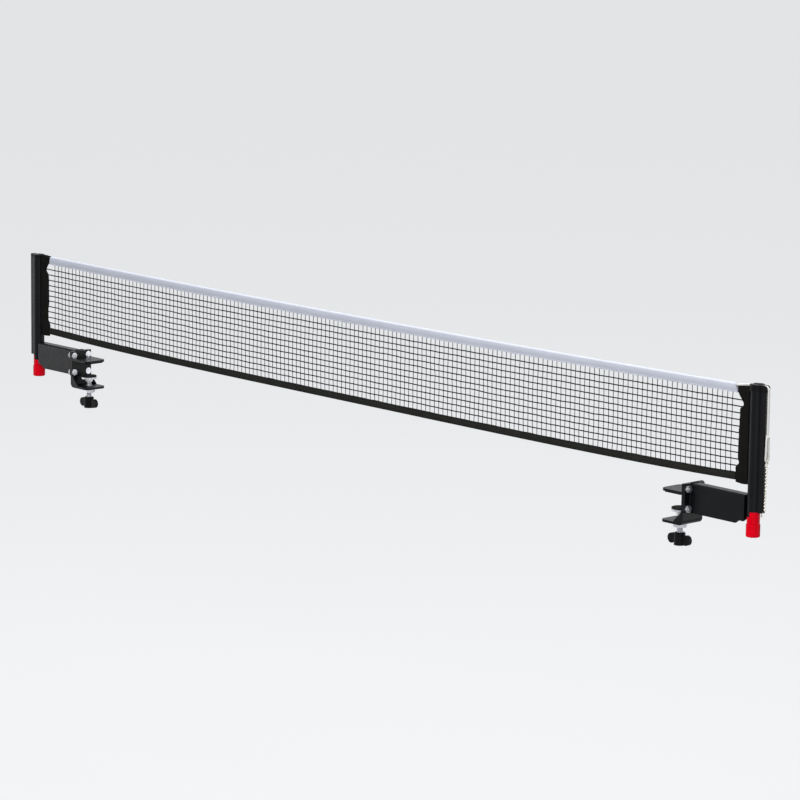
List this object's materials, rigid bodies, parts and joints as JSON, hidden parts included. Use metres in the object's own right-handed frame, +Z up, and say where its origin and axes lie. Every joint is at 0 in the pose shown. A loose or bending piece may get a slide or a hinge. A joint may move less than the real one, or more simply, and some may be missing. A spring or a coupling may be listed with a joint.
{
  "type": "table tennis net clamp",
  "caption": "Table tennis net on two clamp posts, with under-table screw clamps, height screws in the posts and a bead-chain tensioner on the net's cord.",
  "frame": {"origin": "middle of the net line, on the table's playing surface", "axes": "+X along the net towards the post with the cord's chain, +Z up, the net stands in the XZ plane"},
  "size_m": [1.8375, 0.044, 0.2731],
  "materials": {
    "black_steel": "semi-gloss black powder coat",
    "black_plastic": "moulded, satin",
    "red_plastic": "moulded, smooth",
    "zinc_steel": "zinc plated",
    "rubber": "matte",
    "net_black": "woven, matte",
    "tape_white": "woven, matte",
    "cord_white": "braided, matte",
    "chain_nickel": "nickel plated, bright"
  },
  "bodies": {
    "net_frame": {"post_tube_right": "black_steel", "post_tube_left": "black_steel", "post_cap_right": "black_plastic", "post_cap_left": "black_plastic", "end_plug_right": "red_plastic", "end_plug_left": "red_plastic", "net_hooks_right": "black_steel", "net_hooks_left": "black_steel", "side_hem_right": "net_black", "side_hem_left": "net_black", "net_mesh": "net_black", "top_tape": "tape_white", "foot_tape": "net_black", "net_cord": "cord_white", "chain_connector": "chain_nickel", "ball_chain": "chain_nickel"},
    "clamp_frame_right": {"guide_nut_right": "black_plastic", "arm_tongue_right": "black_steel", "arm_channel_right": "black_steel", "arm_flange_right": "black_steel", "arm_bolts_right": "zinc_steel", "arm_nuts_right": "zinc_steel", "clamp_bracket_right": "black_steel", "upper_jaw_pad_right": "rubber", "screw_bush_right": "zinc_steel"},
    "height_screw_right": {"height_knob_right": "red_plastic", "height_spindle_right": "zinc_steel", "knob_screw_right": "zinc_steel"},
    "clamp_shoe_right": {"swivel_shoe_right": "zinc_steel", "shoe_pad_right": "rubber"},
    "clamp_spindle_right": {"clamp_screw_right": "zinc_steel", "wing_knob_right": "black_plastic"},
    "clamp_frame_left": {"guide_nut_left": "black_plastic", "arm_tongue_left": "black_steel", "arm_channel_left": "black_steel", "arm_flange_left": "black_steel", "arm_bolts_left": "zinc_steel", "arm_nuts_left": "zinc_steel", "clamp_bracket_left": "black_steel", "upper_jaw_pad_left": "rubber", "screw_bush_left": "zinc_steel"},
    "height_screw_left": {"height_knob_left": "red_plastic", "height_spindle_left": "zinc_steel", "knob_screw_left": "zinc_steel"},
    "clamp_shoe_left": {"swivel_shoe_left": "zinc_steel", "shoe_pad_left": "rubber"},
    "clamp_spindle_left": {"clamp_screw_left": "zinc_steel", "wing_knob_left": "black_plastic"}
  },
  "joints": [
    {"name": "clamp_lift_right", "type": "slide", "parent": "net_frame", "child": "clamp_frame_right", "axis": [0, 0, 1], "range_m": [-0.005, 0.004]},
    {"name": "height_knob_turn_right", "type": "hinge", "parent": "net_frame", "child": "height_screw_right", "pos_m": [0.895, 0, -0.053], "axis": [0, 0, 1], "range_deg": [-725, 905]},
    {"name": "shoe_travel_right", "type": "slide", "parent": "clamp_frame_right", "child": "clamp_shoe_right", "axis": [0, 0, 1], "range_m": [-0.008, 0.008]},
    {"name": "wing_turn_right", "type": "hinge", "parent": "clamp_shoe_right", "child": "clamp_spindle_right", "pos_m": [0.744, 0, -0.083], "axis": [0, 0, 1], "range_deg": [-1925, 1925]},
    {"name": "clamp_lift_left", "type": "slide", "parent": "net_frame", "child": "clamp_frame_left", "axis": [0, 0, 1], "range_m": [-0.005, 0.004]},
    {"name": "height_knob_turn_left", "type": "hinge", "parent": "net_frame", "child": "height_screw_left", "pos_m": [-0.895, 0, -0.053], "axis": [0, 0, 1], "range_deg": [-725, 905]},
    {"name": "shoe_travel_left", "type": "slide", "parent": "clamp_frame_left", "child": "clamp_shoe_left", "axis": [0, 0, 1], "range_m": [-0.008, 0.008]},
    {"name": "wing_turn_left", "type": "hinge", "parent": "clamp_shoe_left", "child": "clamp_spindle_left", "pos_m": [-0.744, 0, -0.083], "axis": [0, 0, 1], "range_deg": [-1925, 1925]}
  ],
  "couplings": [
    {"joint": "height_knob_turn_right", "follows": "clamp_lift_right", "rad_per_m": -3141.6},
    {"joint": "wing_turn_right", "follows": "shoe_travel_right", "rad_per_m": 4188.8},
    {"joint": "height_knob_turn_left", "follows": "clamp_lift_left", "rad_per_m": -3141.6},
    {"joint": "wing_turn_left", "follows": "shoe_travel_left", "rad_per_m": 4188.8}
  ]
}
